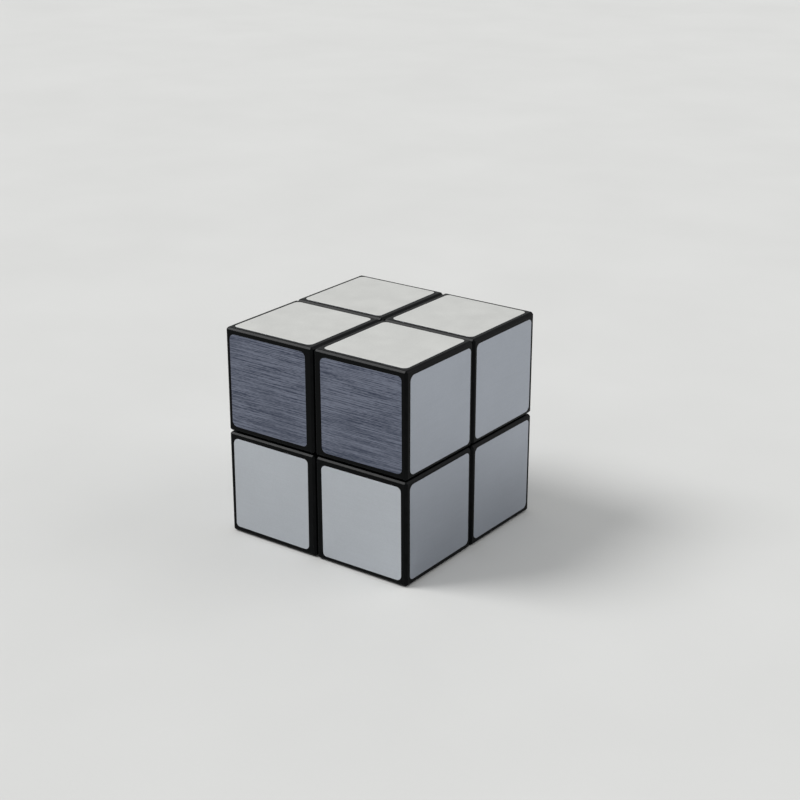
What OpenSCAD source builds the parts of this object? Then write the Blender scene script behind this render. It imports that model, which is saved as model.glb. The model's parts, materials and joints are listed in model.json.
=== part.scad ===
// A 2 x 2 x 2 turning cube: eight hollow black blocks with silver foil
// stickers around a ball-shaped mechanism.
//
// The origin is the turning centre, with x to the right, y to the back and
// z up. Every boundary inside is a plane across x, y or z or a sphere about
// the origin, so any layer turns without touching what stays behind.
// From the outside in:
//   blocks  eight shells that meet at the planes x = 0, y = 0 and z = 0
//   plates  centre caps, edges and corners that meet at +-plate_cut
//   toes    the same pieces' inner ends, which meet at +-toe_cut, nearer the
//           middle planes, and so hook under their neighbours' plates
//   core    a ball with six arms, one screw and one spring to each cap
// The corner at the lower left back is pegged to the core.

/* [Cube] */
// Distance from the turning centre to the right face, foil included
right_d = 25; // [24:0.5:30]
// Distance from the turning centre to the left face, foil included
left_d = 25; // [24:0.5:30]
// Distance from the turning centre to the back face, foil included
back_d = 25; // [24:0.5:30]
// Distance from the turning centre to the front face, foil included
front_d = 25; // [24:0.5:30]
// Distance from the turning centre to the top face, foil included
top_d = 25; // [24:0.5:30]
// Distance from the turning centre to the bottom face, foil included
bottom_d = 25; // [24:0.5:30]

/* [Blocks] */
// Gap between neighbouring blocks
block_gap = 0.3; // [0.2:0.05:0.6]
// Chamfer along every edge of a block
edge_chamfer = 0.5; // [0.4:0.05:0.9]
// Wall thickness of a block
wall = 1.8; // [1.4:0.1:2.2]
// Radius of the peg that joins a foot to its block
peg_r = 1.6; // [1.2:0.1:2]

/* [Stickers] */
// Thickness of the silver foil
foil_t = 0.05; // [0.05:0.05:0.3]
// Black border left on a block between a sticker and the cube's edges
foil_border = 1.3; // [0.9:0.05:2]
// Corner radius of a sticker
foil_r = 1.2; // [0.5:0.1:3]
// Black seam between left and right stickers on the front and back
front_seam_x = 4.1; // [1.8:0.1:4.5]
// Black seam between upper and lower stickers on the front and back
front_seam_z = 3.1; // [1.8:0.1:4]
// Black seam between front and back stickers on the left and right sides
side_seam_y = 2.4; // [1.8:0.1:4]
// Black seam between upper and lower stickers on the left and right sides
side_seam_z = 2.3; // [1.8:0.1:4]
// Black seam between left and right stickers on the top and bottom
top_seam_x = 3.3; // [1.8:0.1:4]
// Black seam between front and back stickers on the top and bottom
top_seam_y = 2.4; // [1.8:0.1:4]

/* [Mechanism] */
// Radius of the ball-shaped hollow inside the blocks
hollow_r = 18; // [17.6:0.1:18.6]
// Gap between sliding pieces
slide_gap = 0.2; // [0.1:0.05:0.3]
// Distance from the middle planes to the joints between the plates
plate_cut = 6.5; // [6.2:0.1:6.8]
// Distance from the middle planes to the joints between the toes
toe_cut = 4; // [3.9:0.05:4.3]
// Radius of the core's ball
ball_r = 6.5; // [6:0.1:7]
// Radius of the core's arms
arm_r = 3.4; // [3:0.1:3.6]

/* [Screws and springs] */
// Radius of a screw's shank
screw_r = 1.25; // [1:0.05:1.4]
// Radius of a screw's head
head_r = 2.4; // [2.2:0.1:2.5]
// Radius of the spring's pocket in a centre cap
pocket_r = 2.9; // [2.8:0.05:3]
// Radius of the spring wire
wire_r = 0.25; // [0.2:0.05:0.3]
// Number of turns in a spring
spring_turns = 4.5; // [3:0.5:4.5]

/* [Hidden] */
$fn = 64;
reach = 100; // longer than any piece
half_gap = block_gap / 2;
plate_out = hollow_r - slide_gap;
plate_in = plate_out - 3.3;
toe_out = plate_in - slide_gap;
toe_in = toe_out - 2.7;
merge = 0.3; // how far the parts of one piece run into each other

lid_fit = 0.05; // play of a foot's lid and peg in the block
lid_out = hollow_r + 1.4;
boss_start = 27; // distances along a corner's diagonal
peg_end = 34;
socket_end = 35;
boss_r = peg_r * 2;
anchor_r = 1;
anchor_start = 5.1;
anchor_bore_start = 4.8;

arm_start = 4.5;
arm_end = sqrt(pow(toe_in - slide_gap, 2) - pow(arm_r, 2));
bore_start = 5.2;
shank_start = 5.5;
shank_fit = 0.05;
turning_fit = 0.08; // play of a cap on its screw
pocket_floor = toe_in + 1.3;
head_t = 1.1;
head_start = plate_out - head_t - 0.3;
recess_w = 0.6; // each arm of the cross in a screw's head
recess_l = 2.9;
recess_t = 0.6;
coil_r = 2.1;
coil_steps = 12; // rings in one turn
wire_sides = 5;
seat_gap = 0.04; // between a spring and what it rests on

black = [0.06, 0.065, 0.075];
dark = [0.16, 0.17, 0.18];
ivory = [0.85, 0.84, 0.8];
steel = [0.62, 0.63, 0.65];
silver = [0.76, 0.77, 0.79];

// A place is a direction such as [-1, -1, 1], the upper left front corner.
// A place times itself counts its axes: 3 for a corner, 2 for an edge and 1
// for a centre.
PLACES = [for (z = [1, 0, -1], y = [-1, 0, 1], x = [-1, 0, 1]) [x, y, z]];
CORNERS = [for (at = PLACES) if (at * at == 3) at];
EDGES = [for (at = PLACES) if (at * at == 2) at];
CENTRES = [for (at = PLACES) if (at * at == 1) at];
FIXED_CORNER = [-1, 1, -1];
FIXED_EDGES = [for (at = EDGES) if (at * FIXED_CORNER == 2) at];
TURNING_EDGES = [for (at = EDGES) if (at * FIXED_CORNER < 2) at];

function upright(z) = z == 0 ? "" : z > 0 ? "_up" : "_down";
function sideways(x) = x == 0 ? "" : x > 0 ? "_right" : "_left";
function inward(y) = y == 0 ? "" : y > 0 ? "_back" : "_front";
function place(at) = str(upright(at.z), sideways(at.x), inward(at.y));
function without(at, axis) = [for (i = [0:2]) i == axis ? 0 : at[i]];
function face_word(at, face) =
    face == 0 ? sideways(at.x) : face == 1 ? inward(at.y) : at.z > 0 ? "_top" : "_bottom";
function sticker_name(at, face) =
    str("sticker", face_word(at, face), place(without(at, face)));

// ---- helpers ----

// A box from its lowest to its highest corner
module span(low, high) {
    translate(low) cube(high - low);
}

// The room that a piece at a place has between flat cuts: within mid of each
// middle plane that it straddles, and beyond side of the others
module sector(at, mid, side) {
    play = slide_gap / 2;
    low = [for (s = at) s == 0 ? play - mid : s > 0 ? side + play : -reach];
    high = [for (s = at) s == 0 ? mid - play : s > 0 ? reach : -side - play];
    span(low, high);
}

// The room between two balls
module zone(inner, outer) {
    difference() {
        sphere(outer);
        sphere(inner);
    }
}

// Turns +z towards a place
module towards(at) {
    rotate([0, acos(at.z / norm(at)), atan2(at.y, at.x)]) children();
}

// Where the plastic ends on one side of an axis
function plastic_d(axis, side) =
    [[left_d, right_d], [front_d, back_d], [bottom_d, top_d]][axis][side > 0 ? 1 : 0] - foil_t;

// A corner's box, moved in by inner from the middle planes and outer from the faces
function corner_low(at, inner, outer) =
    [for (i = [0:2]) at[i] > 0 ? inner : outer - plastic_d(i, -1)];
function corner_high(at, inner, outer) =
    [for (i = [0:2]) at[i] > 0 ? plastic_d(i, 1) - outer : -inner];

module chamfered_rect(w, h) {
    x = w / 2;
    y = h / 2;
    c = edge_chamfer;
    polygon([[c - x, -y], [x - c, -y], [x, c - y], [x, y - c],
             [x - c, y], [c - x, y], [-x, y - c], [-x, c - y]]);
}

module chamfered_box(low, high) {
    size = high - low;
    translate((low + high) / 2) intersection() {
        linear_extrude(size.z, center = true) chamfered_rect(size.x, size.y);
        rotate([90, 0, 0]) linear_extrude(size.y, center = true) chamfered_rect(size.x, size.z);
        rotate([90, 0, 90]) linear_extrude(size.x, center = true) chamfered_rect(size.y, size.z);
    }
}

// A plate, its toe and the neck between them. The plate's top may stand
// higher, where it runs into a corner's lid.
module plate_and_toe(at, top = plate_out) {
    intersection() {
        sector(at, plate_cut, plate_cut);
        zone(plate_in, top);
    }
    intersection() {
        sector(at, toe_cut, plate_cut);
        zone(toe_out - merge, plate_in + merge);
    }
    intersection() {
        sector(at, toe_cut, toe_cut);
        zone(toe_in, toe_out);
    }
}

// ---- the pieces ----

// Ball with six arms, a pilot bore in each, and the fixed corner's socket
module core() {
    color(ivory) difference() {
        union() {
            sphere(ball_r);
            for (at = CENTRES)
                towards(at) translate([0, 0, arm_start]) cylinder(h = arm_end - arm_start, r = arm_r);
        }
        for (at = CENTRES)
            towards(at) translate([0, 0, bore_start]) cylinder(h = reach, r = screw_r + shank_fit);
        towards(FIXED_CORNER)
            translate([0, 0, anchor_bore_start]) cylinder(h = reach, r = anchor_r + shank_fit);
    }
}

module screw() {
    head_top = head_start + head_t;
    difference() {
        union() {
            translate([0, 0, shank_start])
                cylinder(h = head_start - shank_start + merge, r = screw_r);
            translate([0, 0, head_start]) cylinder(h = head_t, r = head_r);
        }
        for (turn = [0, 90])
            rotate(turn) translate([0, 0, head_top])
                cube([recess_l, recess_w, recess_t * 2], center = true);
    }
}

module screws() {
    color(steel) for (at = CENTRES) towards(at) screw();
}

// Open coil from z = low to z = high
module coil(low, high) {
    rings = spring_turns * coil_steps;
    first = low + wire_r;
    climb = (high - low - 2 * wire_r) / rings;
    points = [
        for (i = [0:rings], j = [0:wire_sides - 1])
            let (turn = 360 * i / coil_steps, round = 360 * j / wire_sides)
            let (r = coil_r + wire_r * cos(round))
            [r * cos(turn), r * sin(turn), first + climb * i + wire_r * sin(round)]
    ];
    sides = [
        for (i = [0:rings - 1], j = [0:wire_sides - 1])
            let (a = i * wire_sides + j, b = i * wire_sides + (j + 1) % wire_sides)
            [a, b, b + wire_sides, a + wire_sides]
    ];
    start_cap = [for (j = [wire_sides - 1:-1:0]) j];
    end_cap = [for (j = [0:wire_sides - 1]) rings * wire_sides + j];
    polyhedron(points, concat(sides, [start_cap, end_cap]), convexity = 6);
}

module springs() {
    color(steel) for (at = CENTRES)
        towards(at) coil(pocket_floor + seat_gap, head_start - seat_gap);
}

// Square plate on a square stem, with a bore for its screw and a pocket for
// its spring
module centre_cap(at) {
    color(dark) difference() {
        plate_and_toe(at);
        towards(at) cylinder(h = reach, r = screw_r + turning_fit);
        towards(at) translate([0, 0, pocket_floor]) cylinder(h = reach, r = pocket_r);
    }
}

module hidden_edge(at) {
    color(dark) plate_and_toe(at);
}

module hidden_edges_fixed() {
    for (at = FIXED_EDGES) hidden_edge(at);
}

// What closes a block from the inside: a curved lid, with the toe that the
// mechanism holds on one side and the peg that the block sits on on the other
module foot(at) {
    lid_edge = half_gap + wall + lid_fit;
    peg_start = lid_out - merge;
    color(black) {
        intersection() {
            span(corner_low(at, lid_edge, wall), corner_high(at, lid_edge, wall));
            zone(hollow_r, lid_out);
        }
        plate_and_toe(at, hollow_r + merge);
        towards(at) translate([0, 0, peg_start]) cylinder(h = peg_end - peg_start, r = peg_r);
        if (at == FIXED_CORNER)
            towards(at) translate([0, 0, anchor_start])
                cylinder(h = toe_in + merge - anchor_start, r = anchor_r);
    }
}

// Hollow chamfered box with a ball-shaped bite out of its inner corner and a
// bored boss for the foot's peg
module block(at) {
    color(black) {
        difference() {
            chamfered_box(corner_low(at, half_gap, 0), corner_high(at, half_gap, 0));
            sphere(hollow_r);
            span(corner_low(at, half_gap + wall, wall), corner_high(at, half_gap + wall, wall));
        }
        intersection() {
            span(corner_low(at, half_gap + wall, wall / 2), corner_high(at, half_gap + wall, wall / 2));
            towards(at) difference() {
                translate([0, 0, boss_start]) cylinder(h = reach, r = boss_r);
                cylinder(h = socket_end, r = peg_r + lid_fit);
            }
        }
    }
}

module rounded_rect(w, h, r) {
    square([w, h - 2 * r], center = true);
    square([w - 2 * r, h], center = true);
    for (x = [-1, 1], y = [-1, 1])
        translate([x * (w / 2 - r), y * (h / 2 - r)]) circle(r);
}

// Width of the black seam along an axis, on the faces across another axis
function seam(face, axis) =
    [[0, side_seam_y, side_seam_z], [front_seam_x, 0, front_seam_z], [top_seam_x, top_seam_y, 0]][face][axis];

// The foil on one face of a corner, face being the axis that it is across
module sticker(at, face) {
    plastic = [for (i = [0:2]) plastic_d(i, at[i])];
    inner = [for (i = [0:2]) seam(face, i) / 2];
    outer = [for (i = [0:2]) plastic[i] - foil_border];
    size = outer - inner;
    middle = [for (i = [0:2])
        at[i] * (i == face ? plastic[i] + foil_t / 2 : (inner[i] + outer[i]) / 2)];
    color(silver) translate(middle) {
        if (face == 0)
            rotate([90, 0, 90]) linear_extrude(foil_t, center = true)
                rounded_rect(size.y, size.z, foil_r);
        if (face == 1)
            rotate([90, 0, 0]) linear_extrude(foil_t, center = true)
                rounded_rect(size.x, size.z, foil_r);
        if (face == 2)
            linear_extrude(foil_t, center = true)
                rounded_rect(size.x, size.y, foil_r);
    }
}

core();
screws();
springs();
hidden_edges_fixed();
for (at = CENTRES)
    centre_cap(at);
for (at = TURNING_EDGES)
    hidden_edge(at);
for (at = CORNERS) {
    foot(at);
    block(at);
    for (face = [0:2])
        sticker(at, face);
}
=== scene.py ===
"""Looks of the mirror block cube: chamfered hollow blocks, silver foils and the material of every piece.

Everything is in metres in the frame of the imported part: x to the right, y to the back, z up, and the
turning centre at the origin.
"""

import json
import math
import random

import bmesh
import bpy
from mathutils import Matrix, Vector

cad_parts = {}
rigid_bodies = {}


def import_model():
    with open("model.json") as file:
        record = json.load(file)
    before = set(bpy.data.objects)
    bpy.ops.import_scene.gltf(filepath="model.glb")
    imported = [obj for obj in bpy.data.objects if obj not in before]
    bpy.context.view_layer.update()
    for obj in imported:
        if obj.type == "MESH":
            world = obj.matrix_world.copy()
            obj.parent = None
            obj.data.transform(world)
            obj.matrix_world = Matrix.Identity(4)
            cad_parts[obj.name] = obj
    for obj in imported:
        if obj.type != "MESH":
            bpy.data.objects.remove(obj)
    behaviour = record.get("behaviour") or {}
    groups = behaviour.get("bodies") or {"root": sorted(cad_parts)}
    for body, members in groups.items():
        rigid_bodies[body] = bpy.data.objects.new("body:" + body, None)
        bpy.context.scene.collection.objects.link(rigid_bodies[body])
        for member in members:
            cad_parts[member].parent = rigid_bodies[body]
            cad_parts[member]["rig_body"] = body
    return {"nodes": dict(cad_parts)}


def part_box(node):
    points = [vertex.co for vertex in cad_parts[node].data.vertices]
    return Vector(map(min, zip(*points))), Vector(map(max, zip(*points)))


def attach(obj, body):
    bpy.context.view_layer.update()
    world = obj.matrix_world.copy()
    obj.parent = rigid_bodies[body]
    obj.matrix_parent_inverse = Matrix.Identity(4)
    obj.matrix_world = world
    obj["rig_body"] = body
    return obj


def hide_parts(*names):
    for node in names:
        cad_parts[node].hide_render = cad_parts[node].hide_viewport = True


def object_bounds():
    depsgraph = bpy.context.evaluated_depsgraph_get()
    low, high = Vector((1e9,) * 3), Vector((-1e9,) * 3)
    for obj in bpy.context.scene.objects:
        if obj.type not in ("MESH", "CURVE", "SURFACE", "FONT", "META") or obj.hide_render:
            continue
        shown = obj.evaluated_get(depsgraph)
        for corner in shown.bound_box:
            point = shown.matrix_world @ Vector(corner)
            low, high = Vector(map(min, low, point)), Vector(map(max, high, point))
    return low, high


MM = 0.001

# ---- shapes, in metres ----

CHAMFER = 0.5 * MM  # along every edge of a block
RIDGE = 0.12 * MM  # how far the chamfer's own edges are rounded
RIDGE_STEPS = 3
ON_FACE = 0.001 * MM  # as near as this, a point counts as on a block's face
WALL = 1.8 * MM
HOLLOW_R = 18 * MM  # of the ball-shaped hollow that the mechanism fills
HALF_GAP = 0.15 * MM
BOSS_START = 27 * MM  # along a block's diagonal
BOSS_R = 3.2 * MM
SOCKET_END = 35 * MM
SOCKET_R = 1.65 * MM
ROD_SIDES = 48
BALL_SIDES = 128
WELD = 0.0005 * MM
SHARP_ANGLE = math.radians(35)

FOIL_EDGE_R = 0.02 * MM  # where a foil's face turns into its cut edge
FOIL_EDGE_STEPS = 3
FOIL_CORNER_R = (0.9 * MM, 1.4 * MM)  # from and to, as no two corners were cut alike
FOIL_CORNER_STEPS = 10
FOIL_SLIP = 0.1 * MM  # how far off its place a foil may be stuck on
FOIL_TWIST = math.radians(0.3)
FOIL_SEED = 5

# ---- camera, light and floor ----

CAMERA_AZIMUTH = math.radians(36.1)
CAMERA_ELEVATION = math.radians(21.1)
CAMERA_DISTANCE = 0.38
CAMERA_LENS = 74
CAMERA_SENSOR = 36
CAMERA_CLIP = (0.01, 20)
CAMERA_AIM = (4.1 * MM, 5.0 * MM)  # right of the cube's middle and above it, across the view

KEY_FROM = Vector((-0.55, -0.36, 0.76))  # upper left front
KEY_SPREAD = math.radians(27.5)
KEY_STRENGTH = 2.12  # in watts per square metre, as the other lamp's
FILL_FROM = Vector((0.7, 0.5, 0.45))  # right back, to soften the shadow
FILL_SPREAD = math.radians(52)
FILL_STRENGTH = 0.62
SKY = (  # sine of the elevation, and colour, which at 0 is the far floor's, so that no line shows
    (0.0, (0.71, 0.712, 0.697, 1)),
    (0.15, (0.4, 0.403, 0.4, 1)),
    (0.6, (0.67, 0.678, 0.686, 1)),
)
FLOOR_R = 6.0
FLOOR_SIDES = 96
FLOOR_GAP = 0.02 * MM  # between the floor and the lowest foils

# Sockets of Blender's Mix node that carry colours
MIX_A, MIX_B, MIX_RESULT = 6, 7, 2

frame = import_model()
cad_low, cad_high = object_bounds()


# ---- mesh helpers ----


def new_object(name, mesh):
    obj = bpy.data.objects.new(name, mesh)
    bpy.context.scene.collection.objects.link(obj)
    return obj


def object_from(name, bm):
    mesh = bpy.data.meshes.new(name)
    bm.normal_update()
    bm.to_mesh(mesh)
    bm.free()
    return new_object(name, mesh)


def box_between(name, low, high, chamfer=0.0):
    """A box from one corner to the opposite one. Its edges are cut by a chamfer with rounded ridges."""
    bm = bmesh.new()
    place = Matrix.Translation((low + high) / 2) @ Matrix.Diagonal((high - low).to_4d())
    bmesh.ops.create_cube(bm, size=1, matrix=place)
    if chamfer:
        for offset, steps in ((chamfer, 1), (RIDGE, RIDGE_STEPS)):
            bmesh.ops.bevel(
                bm,
                geom=bm.edges[:],
                offset=offset,
                offset_type="OFFSET",
                segments=steps,
                profile=0.5,
                affect="EDGES",
            )
    return object_from(name, bm)


def rod(name, direction, start, end, radius):
    """A round rod along a direction from the origin."""
    bm = bmesh.new()
    turn = direction.to_track_quat("Z", "Y").to_matrix().to_4x4()
    middle = Matrix.Translation((0, 0, (start + end) / 2))
    bmesh.ops.create_cone(
        bm,
        cap_ends=True,
        segments=ROD_SIDES,
        radius1=radius,
        radius2=radius,
        depth=end - start,
        matrix=turn @ middle,
    )
    return object_from(name, bm)


def ball(name, radius):
    bm = bmesh.new()
    bmesh.ops.create_uvsphere(
        bm, u_segments=BALL_SIDES, v_segments=BALL_SIDES // 2, radius=radius
    )
    return object_from(name, bm)


def combine(obj, operation, tool):
    """Applies one boolean of tool to obj, and removes tool."""
    step = obj.modifiers.new(operation, "BOOLEAN")
    step.operation = operation
    step.solver = "EXACT"
    step.object = tool
    depsgraph = bpy.context.evaluated_depsgraph_get()
    made = bpy.data.meshes.new_from_object(obj.evaluated_get(depsgraph))
    obj.modifiers.clear()
    old = obj.data
    obj.data = made
    made.name = obj.name
    bpy.data.meshes.remove(old)
    tool_mesh = tool.data
    bpy.data.objects.remove(tool)
    bpy.data.meshes.remove(tool_mesh)


def weld(obj):
    """Joins the vertices that booleans leave next to each other along their cuts."""
    bm = bmesh.new()
    bm.from_mesh(obj.data)
    bmesh.ops.remove_doubles(bm, verts=bm.verts[:], dist=WELD)
    bmesh.ops.dissolve_degenerate(bm, edges=bm.edges[:], dist=WELD)
    bm.to_mesh(obj.data)
    bm.free()


def smooth(obj):
    """Smooth shading with sharp edges above SHARP_ANGLE, and flat faces that stay flat."""
    mesh = obj.data
    mesh.shade_smooth()
    mesh.set_sharp_from_angle(angle=SHARP_ANGLE)
    weigh = obj.modifiers.new("flat faces stay flat", "WEIGHTED_NORMAL")
    weigh.mode = "FACE_AREA"
    weigh.keep_sharp = True


# ---- blocks ----


def edge_wear(point, low, high):
    """1 on the chamfers of the box from low to high, and 0 on its flat faces."""
    depths = sorted(min(p - a, b - p) for p, a, b in zip(point, low, high))
    return 1.0 if depths[0] > ON_FACE and depths[1] < CHAMFER else 0.0


def block_shell(node):
    """Chamfered box, less the ball and the pocket, with the bored boss for the foot's peg."""
    low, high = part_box(node)
    side = Vector([1 if a + b > 0 else -1 for a, b in zip(low, high)])
    outer = Vector([b if s > 0 else -a for s, a, b in zip(side, low, high)])

    def part_of_corner(inner, skin):
        """The corner's box, from inner beyond the middle planes to skin inside its faces."""
        near = Vector([s * inner for s in side])
        far = Vector([s * (o - skin) for s, o in zip(side, outer)])
        return (
            Vector([min(a, b) for a, b in zip(near, far)]),
            Vector([max(a, b) for a, b in zip(near, far)]),
        )

    inside = HALF_GAP + WALL
    shell = box_between(node.replace("block", "shell"), low, high, CHAMFER)
    combine(shell, "DIFFERENCE", ball("ball", HOLLOW_R))
    combine(shell, "DIFFERENCE", box_between("pocket", *part_of_corner(inside, WALL)))
    boss = rod("boss", side.normalized(), BOSS_START, 2 * BOSS_START, BOSS_R)
    combine(boss, "INTERSECT", box_between("room", *part_of_corner(inside, WALL / 2)))
    combine(boss, "DIFFERENCE", rod("bore", side.normalized(), 0, SOCKET_END, SOCKET_R))
    combine(shell, "UNION", boss)
    weld(shell)

    wear = shell.data.attributes.new("wear", "FLOAT", "POINT")
    for vertex in shell.data.vertices:
        wear.data[vertex.index].value = edge_wear(vertex.co, low, high)
    smooth(shell)
    return shell


# ---- foils ----


def rounded_outline(width, height, radii):
    """Points round a rectangle, anticlockwise from the lower right corner, with a radius for each."""
    points = []
    for turn, (sx, sy), r in zip(range(4), ((1, -1), (1, 1), (-1, 1), (-1, -1)), radii):
        middle = Vector((sx * (width / 2 - r), sy * (height / 2 - r)))
        for i in range(FOIL_CORNER_STEPS + 1):
            angle = math.radians(90 * (turn - 1) + 90 * i / FOIL_CORNER_STEPS)
            points.append(middle + r * Vector((math.cos(angle), math.sin(angle))))
    return points


def foil(node, chance):
    """A thin plate with round corners and a soft edge, stuck on very slightly off its node's place."""
    low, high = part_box(node)
    size = high - low
    thin = min(range(3), key=lambda i: size[i])
    middle = (low + high) / 2
    normal = Vector([0, 0, 0])
    normal[thin] = 1 if middle[thin] > 0 else -1
    across = Vector((1, 0, 0)) if thin != 0 else Vector((0, 1, 0))
    up = normal.cross(across)
    thick = size[thin]
    width = abs(size.dot(across))
    height = sum(size) - thick - width

    radii = [chance.uniform(*FOIL_CORNER_R) for _ in range(4)]
    slip = Vector([chance.uniform(-FOIL_SLIP, FOIL_SLIP) for _ in range(2)])
    twist = Matrix.Rotation(chance.uniform(-FOIL_TWIST, FOIL_TWIST), 2)

    bm = bmesh.new()
    cut = bm.verts.layers.float.new("cut_edge")
    levels = [(0.0, 0.0)]  # how far in from the outline, and how high above the block
    for i in range(FOIL_EDGE_STEPS + 1):
        angle = math.radians(90 * i / FOIL_EDGE_STEPS)
        levels.append(
            (FOIL_EDGE_R * (1 - math.cos(angle)), thick - FOIL_EDGE_R * (1 - math.sin(angle)))
        )
    rings = []
    for inset, lift in levels:
        outline = rounded_outline(
            width - 2 * inset, height - 2 * inset, [r - inset for r in radii]
        )
        ring = []
        for p in outline:
            p = twist @ p + slip
            at = middle + across * p.x + up * p.y + normal * (lift - thick / 2)
            vertex = bm.verts.new(at)
            vertex[cut] = 0.0 if lift > thick - 0.01 * FOIL_EDGE_R else 1.0
            ring.append(vertex)
        rings.append(ring)
    for a, b in zip(rings, rings[1:]):
        for i in range(len(a)):
            j = (i + 1) % len(a)
            bm.faces.new((a[i], a[j], b[j], b[i]))
    bm.faces.new(rings[-1])
    bm.faces.new(reversed(rings[0]))
    bmesh.ops.recalc_face_normals(bm, faces=bm.faces[:])
    piece = object_from(node.replace("sticker", "foil"), bm)
    smooth(piece)
    return piece


# ---- materials ----


class Look:
    """A material on one Principled shader, with helpers that add its nodes."""

    def __init__(self, name, fixed):
        self.material = bpy.data.materials.new(name)
        self.material.use_nodes = True
        self.tree = self.material.node_tree
        self.shader = self.tree.nodes["Principled BSDF"]
        for socket, value in fixed.items():
            self.shader.inputs[socket].default_value = value
        self.place = self.add("ShaderNodeTexCoord").outputs["Object"]

    def add(self, kind, **settings):
        node = self.tree.nodes.new(kind)
        for name, value in settings.items():
            setattr(node, name, value)
        return node

    def feed(self, socket, value):
        """Links value to the socket if it is another node's output, and sets it otherwise."""
        if isinstance(value, bpy.types.NodeSocket):
            self.tree.links.new(value, socket)
        else:
            socket.default_value = value

    def noise(self, size, detail=2.0, turn=(0, 0, 0), roughness=0.55):
        """Noise whose features have these sizes in mm along x, y and z, after a turn in degrees."""
        scale = [1 / (MM * s) for s in (size if isinstance(size, tuple) else (size,) * 3)]
        place = self.place
        if any(turn):
            turned = self.add("ShaderNodeMapping", vector_type="POINT")
            turned.inputs["Rotation"].default_value = [math.radians(a) for a in turn]
            self.feed(turned.inputs["Vector"], place)
            place = turned.outputs["Vector"]
        mapping = self.add("ShaderNodeMapping", vector_type="POINT")
        mapping.inputs["Scale"].default_value = scale
        self.feed(mapping.inputs["Vector"], place)
        texture = self.add("ShaderNodeTexNoise", noise_dimensions="3D")
        texture.inputs["Scale"].default_value = 1.0
        texture.inputs["Detail"].default_value = detail
        texture.inputs["Roughness"].default_value = roughness
        self.feed(texture.inputs["Vector"], mapping.outputs["Vector"])
        return texture.outputs["Fac"]

    def stretch(self, value, low, high, to_low=0.0, to_high=1.0):
        """Maps low..high to to_low..to_high, and clamps."""
        node = self.add("ShaderNodeMapRange", clamp=True)
        for socket, number in zip(
            ("Value", "From Min", "From Max", "To Min", "To Max"),
            (value, low, high, to_low, to_high),
        ):
            self.feed(node.inputs[socket], number)
        return node.outputs["Result"]

    def math(self, operation, a, b):
        node = self.add("ShaderNodeMath", operation=operation)
        self.feed(node.inputs[0], a)
        self.feed(node.inputs[1], b)
        return node.outputs["Value"]

    def plus(self, a, b):
        return self.math("ADD", a, b)

    def times(self, a, b):
        return self.math("MULTIPLY", a, b)

    def mix(self, share, a, b):
        """Colour a where share is 0 and b where it is 1."""
        node = self.add("ShaderNodeMix", data_type="RGBA", blend_type="MIX")
        self.feed(node.inputs["Factor"], share)
        self.feed(node.inputs[MIX_A], a)
        self.feed(node.inputs[MIX_B], b)
        return node.outputs[MIX_RESULT]

    def scratches(self, turn, width=0.06, length=9.0, share=0.3):
        """Thin straight marks along one direction: 1 on a mark and 0 elsewhere."""
        line = self.noise((length, width * 1.7, width), 0.0, turn)
        patch = self.noise(7.0, 1.0, turn)
        mark = self.stretch(line, 0.70, 0.76)
        return self.times(mark, self.stretch(patch, 1 - share - 0.05, 1 - share + 0.1))

    def attribute(self, name):
        return self.add("ShaderNodeAttribute", attribute_name=name).outputs["Fac"]

    def bump(self, height, depth, before=None):
        """A bump of this depth in mm, on top of another one if before is given."""
        node = self.add("ShaderNodeBump")
        node.inputs["Strength"].default_value = 1.0
        node.inputs["Distance"].default_value = depth * MM
        self.feed(node.inputs["Height"], height)
        if before is not None:
            self.feed(node.inputs["Normal"], before)
        return node.outputs["Normal"]

    def finish(self, color, roughness, normal):
        self.feed(self.shader.inputs["Base Color"], color)
        self.feed(self.shader.inputs["Roughness"], roughness)
        self.feed(self.shader.inputs["Normal"], normal)
        return self.material


def rgba(r, g, b):
    return (r, g, b, 1.0)


def gloss_black():
    """Polished black plastic: a faint orange peel, handling marks, and edges rubbed paler and duller."""
    look = Look("gloss_black", {"Specular IOR Level": 0.06})
    cloud = look.noise(6.0, 3.0)
    marks = look.plus(look.scratches((20, 35, 15)), look.scratches((70, 10, 60), share=0.25))
    rubbed = look.times(look.attribute("wear"), look.stretch(look.noise(1.8, 4.0), 0.35, 0.7))
    color = look.mix(rubbed, rgba(0.0016, 0.002, 0.0022), rgba(0.004, 0.0045, 0.005))
    color = look.mix(look.times(marks, 0.3), color, rgba(0.02, 0.021, 0.023))
    roughness = look.stretch(cloud, 0.3, 0.7, 0.16, 0.24)
    roughness = look.plus(roughness, look.times(rubbed, 0.05))
    roughness = look.plus(roughness, look.times(marks, 0.2))
    peel = look.bump(look.noise(1.1, 2.0), 0.004)
    return look.finish(color, roughness, look.bump(marks, -0.004, peel))


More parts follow.
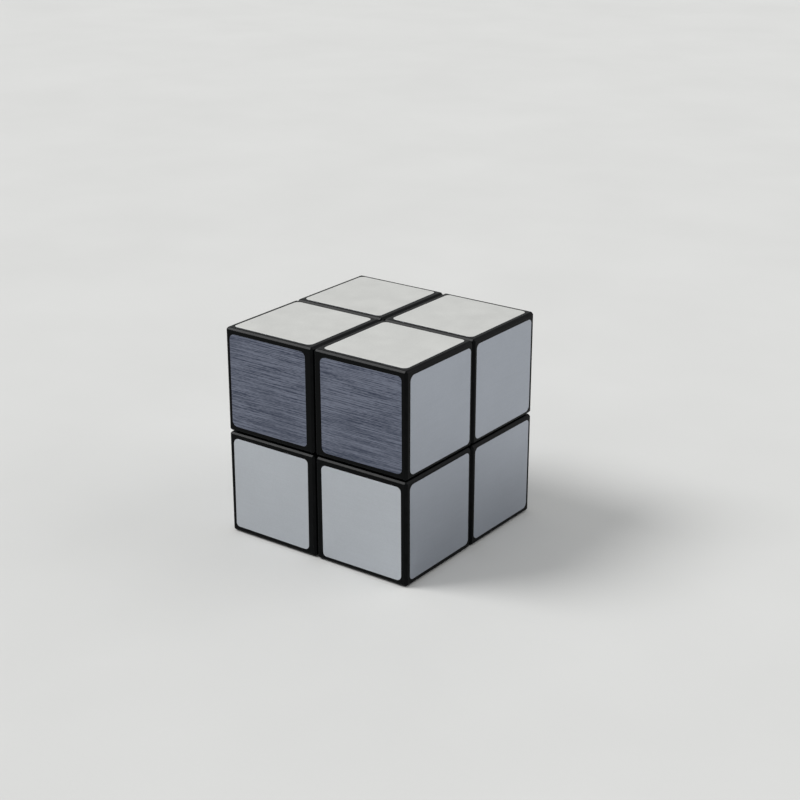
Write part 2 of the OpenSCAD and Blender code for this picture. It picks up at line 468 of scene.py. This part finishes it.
def satin_foil(name, tone, roughness, cast=(0.97, 1.0, 1.04)):
    """Satin silver foil: slow clouds of brightness, a fine grain, faint rolling lines, a cut edge."""
    look = Look(name, {"Metallic": 1.0})
    cloud = look.stretch(look.noise(14.0, 2.0), 0.3, 0.7, 0.98, 1.02)
    grain = look.stretch(look.noise(0.3, 2.0), 0.3, 0.7, 0.975, 1.025)
    rolled = look.stretch(look.noise((9.0, 9.0, 0.35), 3.0), 0.3, 0.7, 0.985, 1.015)
    bright = look.times(look.times(cloud, grain), rolled)
    dark = rgba(*(0.9 * tone * c for c in cast))
    light = rgba(*(1.1 * tone * c for c in cast))
    color = look.mix(look.stretch(bright, 0.9, 1.1), dark, light)
    marks = look.plus(
        look.scratches((0, 25, 30), 0.05, 6.0, 0.2), look.scratches((65, 0, 80), 0.05, 5.0, 0.2)
    )
    color = look.mix(look.times(marks, 0.25), color, rgba(*(1.25 * tone * c for c in cast)))
    color = look.mix(look.attribute("cut_edge"), color, rgba(0.3, 0.31, 0.33))
    rough = look.stretch(look.noise(5.0, 4.0), 0.3, 0.7, roughness - 0.025, roughness + 0.03)
    rough = look.plus(rough, look.times(look.stretch(look.noise(0.2, 1.0), 0.35, 0.65), 0.03))
    wave = look.bump(look.noise(9.0, 1.0), 0.005)
    return look.finish(color, rough, look.bump(look.noise(0.22, 2.0), 0.0015, wave))


def hairline_foil(name, tone, roughness):
    """Brushed silver foil, with fine straight hairlines along x."""
    look = Look(name, {"Metallic": 1.0})
    streak = look.stretch(look.noise((24.0, 5.0, 0.34), 1.0), 0.36, 0.64)
    pale = look.stretch(look.noise((9.0, 4.0, 0.145), 0.0), 0.48, 0.62)
    long = look.stretch(look.noise((20.0, 4.0, 0.17), 0.0), 0.53, 0.66)
    black = look.stretch(look.noise((11.0, 6.0, 0.15), 0.0), 0.5, 0.36)
    grain = look.stretch(look.noise((1.1, 1.1, 0.16), 1.0), 0.3, 0.7, -0.5, 0.5)
    lines = look.times(streak, 0.18)
    for layer, share in ((grain, 0.55), (pale, 0.5), (long, 0.55), (black, -0.16)):
        lines = look.plus(lines, look.times(layer, share))
    depth = look.stretch(look.noise(15.0, 1.0, (0, 30, 0)), 0.35, 0.65, 0.75, 1.25)
    cloud = look.stretch(look.noise((16.0, 16.0, 9.0), 2.0), 0.3, 0.7, 0.16, 0.3)
    bright = look.plus(look.times(lines, depth), cloud)
    dark = rgba(0.36 * tone, 0.43 * tone, 0.66 * tone)
    light = rgba(1.5 * tone, 1.64 * tone, 2.1 * tone)
    color = look.mix(bright, dark, light)
    color = look.mix(look.attribute("cut_edge"), color, rgba(0.1, 0.11, 0.13))
    rough = look.stretch(lines, 0.0, 0.8, roughness - 0.06, roughness + 0.06)
    wave = look.bump(look.noise(9.0, 1.0), 0.01)
    return look.finish(color, rough, look.bump(lines, 0.006, wave))


def moulded(name, dark, light, roughness, peel=0.006):
    """Plain moulded plastic: faint flow clouds, a fine moulded grain and a soft gloss."""
    look = Look(name, {"Specular IOR Level": 0.45})
    color = look.mix(look.stretch(look.noise(5.0, 3.0), 0.3, 0.7), rgba(*dark), rgba(*light))
    rough = look.stretch(look.noise(2.2, 4.0), 0.3, 0.7, roughness - 0.07, roughness + 0.07)
    return look.finish(color, rough, look.bump(look.noise(0.35, 3.0), peel))


def plated_steel():
    """Zinc plated steel, with drawn marks and slightly duller patches."""
    look = Look("plated_steel", {"Metallic": 1.0})
    marks = look.noise((0.12, 0.12, 0.9), 3.0)
    color = look.mix(look.stretch(marks, 0.3, 0.7), rgba(0.46, 0.47, 0.49), rgba(0.68, 0.69, 0.7))
    rough = look.stretch(look.noise(0.8, 4.0), 0.3, 0.7, 0.24, 0.42)
    return look.finish(color, rough, look.bump(marks, 0.004))


def paper_floor():
    """A matte pale surface with the faint unevenness of card."""
    look = Look("pale_floor", {"Specular IOR Level": 0.0})
    cloud = look.stretch(look.noise(60.0, 3.0), 0.3, 0.7)
    color = look.mix(cloud, rgba(0.572, 0.572, 0.56), rgba(0.594, 0.594, 0.582))
    return look.finish(color, 0.8, look.bump(look.noise(0.8, 3.0), 0.02))


# The record's slot of each piece, as the start of its node's name, and the material of each slot
SLOTS = (
    ("block_", "block_plastic"),
    ("foot_", "block_plastic"),
    ("centre_cap_", "inner_plastic"),
    ("hidden_edge", "inner_plastic"),
    ("core", "core_plastic"),
    ("screws", "screw_steel"),
    ("springs", "screw_steel"),
    ("sticker_top_", "foil_bright"),
    ("sticker_front_up_", "foil_dark"),
    ("sticker_front_down_", "foil_light"),
    ("sticker_right_", "foil_grey"),
    ("sticker_", "foil_silver"),
)
MATERIALS = {
    "block_plastic": gloss_black(),
    "inner_plastic": moulded("satin_dark", (0.022, 0.024, 0.027), (0.034, 0.036, 0.04), 0.42),
    "core_plastic": moulded("ivory", (0.66, 0.64, 0.58), (0.76, 0.745, 0.69), 0.45),
    "screw_steel": plated_steel(),
    # painted light: the top's foils get a paler, warmer tone than the front's, which stands in for the
    # light from above
    "foil_bright": satin_foil("foil_bright", 0.9, 0.42, (1.0, 1.0, 0.965)),
    "foil_dark": hairline_foil("foil_dark", 0.144, 0.42),
    "foil_light": satin_foil("foil_light", 0.58, 0.4, (0.95, 1.0, 1.07)),
    # painted shade: the right's foils get a darker, bluer tone than the front's, which stands in for the
    # side turned away from the key lamp
    "foil_grey": satin_foil("foil_grey", 0.43, 0.42, (0.935, 1.0, 1.12)),
    "foil_silver": satin_foil("foil_silver", 0.55, 0.4, (0.95, 1.0, 1.07)),
}


def slot_of(node):
    return next(slot for start, slot in SLOTS if node.startswith(start))


def body_of(node):
    return frame["nodes"][node]["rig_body"]


# ---- the pieces ----

chance = random.Random(FOIL_SEED)
for node in sorted(frame["nodes"]):
    slot = slot_of(node)
    if node.startswith("block_"):
        piece = block_shell(node)
    elif node.startswith("sticker_"):
        piece = foil(node, chance)
    else:
        for material_slot in frame["nodes"][node].material_slots:
            material_slot.material = MATERIALS[slot]
        continue
    piece.data.materials.clear()
    piece.data.materials.append(MATERIALS[slot])
    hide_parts(node)
    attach(piece, body_of(node))


# ---- floor, light and camera ----


def floor():
    bm = bmesh.new()
    bmesh.ops.create_circle(
        bm,
        cap_ends=True,
        segments=FLOOR_SIDES,
        radius=FLOOR_R,
        matrix=Matrix.Translation((0, 0, cad_low.z - FLOOR_GAP)),
    )
    ground = object_from("floor", bm)
    ground.data.materials.append(paper_floor())


def soft_light(name, direction, spread, strength):
    """A far lamp of some spread, which lights the floor evenly out to the horizon."""
    lamp = bpy.data.lights.new(name, "SUN")
    lamp.angle = spread
    lamp.energy = strength
    obj = bpy.data.objects.new(name, lamp)
    bpy.context.scene.collection.objects.link(obj)
    obj.location = direction
    obj.rotation_euler = direction.to_track_quat("Z", "Y").to_euler()


def camera():
    azimuth, elevation = CAMERA_AZIMUTH, CAMERA_ELEVATION
    back = Vector(
        (
            math.sin(azimuth) * math.cos(elevation),
            -math.cos(azimuth) * math.cos(elevation),
            math.sin(elevation),
        )
    )
    right = Vector((math.cos(azimuth), math.sin(azimuth), 0))
    up = back.cross(right)
    aim = CAMERA_AIM[0] * right + CAMERA_AIM[1] * up
    data = bpy.data.cameras.new("camera")
    data.lens = CAMERA_LENS
    data.sensor_width = CAMERA_SENSOR
    data.clip_start, data.clip_end = CAMERA_CLIP
    obj = bpy.data.objects.new("camera", data)
    bpy.context.scene.collection.objects.link(obj)
    obj.location = aim + back * CAMERA_DISTANCE
    obj.rotation_euler = (-back).to_track_quat("-Z", "Y").to_euler()
    bpy.context.scene.camera = obj


def world():
    """Even light from above, which turns into the far floor's tone at the horizon."""
    sky = bpy.data.worlds.new("studio")
    sky.use_nodes = True
    nodes, links = sky.node_tree.nodes, sky.node_tree.links
    direction = nodes.new("ShaderNodeTexCoord")
    height = nodes.new("ShaderNodeSeparateXYZ")
    shade = nodes.new("ShaderNodeValToRGB")
    shade.color_ramp.interpolation = "EASE"
    stops = shade.color_ramp.elements
    while len(stops) < len(SKY):
        stops.new(0.5)
    for stop, (sine, color) in zip(stops, SKY):
        stop.position, stop.color = sine, color
    links.new(direction.outputs["Generated"], height.inputs["Vector"])
    links.new(height.outputs["Z"], shade.inputs["Fac"])
    links.new(shade.outputs["Color"], nodes["Background"].inputs["Color"])
    bpy.context.scene.world = sky


floor()
soft_light("key", KEY_FROM, KEY_SPREAD, KEY_STRENGTH)
soft_light("fill", FILL_FROM, FILL_SPREAD, FILL_STRENGTH)
camera()
world()
bpy.context.scene.view_settings.view_transform = "Standard"
